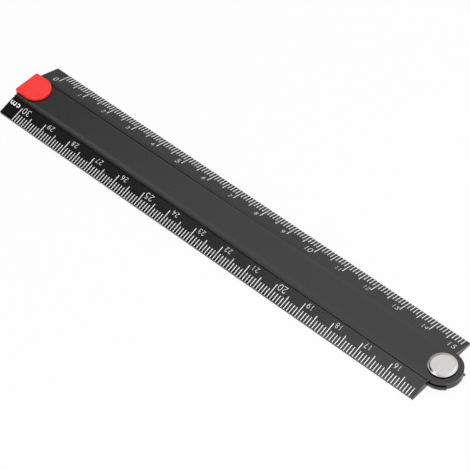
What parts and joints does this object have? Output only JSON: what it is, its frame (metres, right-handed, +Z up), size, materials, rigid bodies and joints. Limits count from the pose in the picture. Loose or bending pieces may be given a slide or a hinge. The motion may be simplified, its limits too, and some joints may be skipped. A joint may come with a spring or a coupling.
{
  "type": "folding metal ruler",
  "caption": "Folding aluminium ruler: bevelled leaves with engraved centimetre scales swing flat about a steel rivet and are held shut by a red end catch.",
  "frame": {"origin": "centre of the closed ruler's footprint, on the plane that both flanges rest on", "axes": "+X along the ruler from the end catch to the rivet, +Y towards the upper leaf's flange, +Z up through the two leaves, along the rivet"},
  "size_m": [0.1622, 0.0236, 0.004],
  "materials": {
    "lower_leaf_anodised": "black anodised, satin, white-filled graduations",
    "upper_leaf_anodised": "black anodised, satin, white-filled graduations",
    "rivet_steel": "fine satin face with a polished bevel",
    "washer_nylon": "smooth black nylon",
    "catch_plastic": "moulded red plastic with a soft sheen"
  },
  "bodies": {
    "lower_arm": {"lower_leaf": "lower_leaf_anodised", "pivot_rivet": "rivet_steel", "leaf_washer": "washer_nylon", "end_catch": "catch_plastic"},
    "upper_arm": {"upper_leaf": "upper_leaf_anodised", "head_washer": "washer_nylon"}
  },
  "joints": [
    {"name": "leaf_swing", "type": "hinge", "parent": "lower_arm", "child": "upper_arm", "pos_m": [0.07547, 0, 0], "axis": [0, 0, -1], "range_deg": [0, 180]}
  ]
}
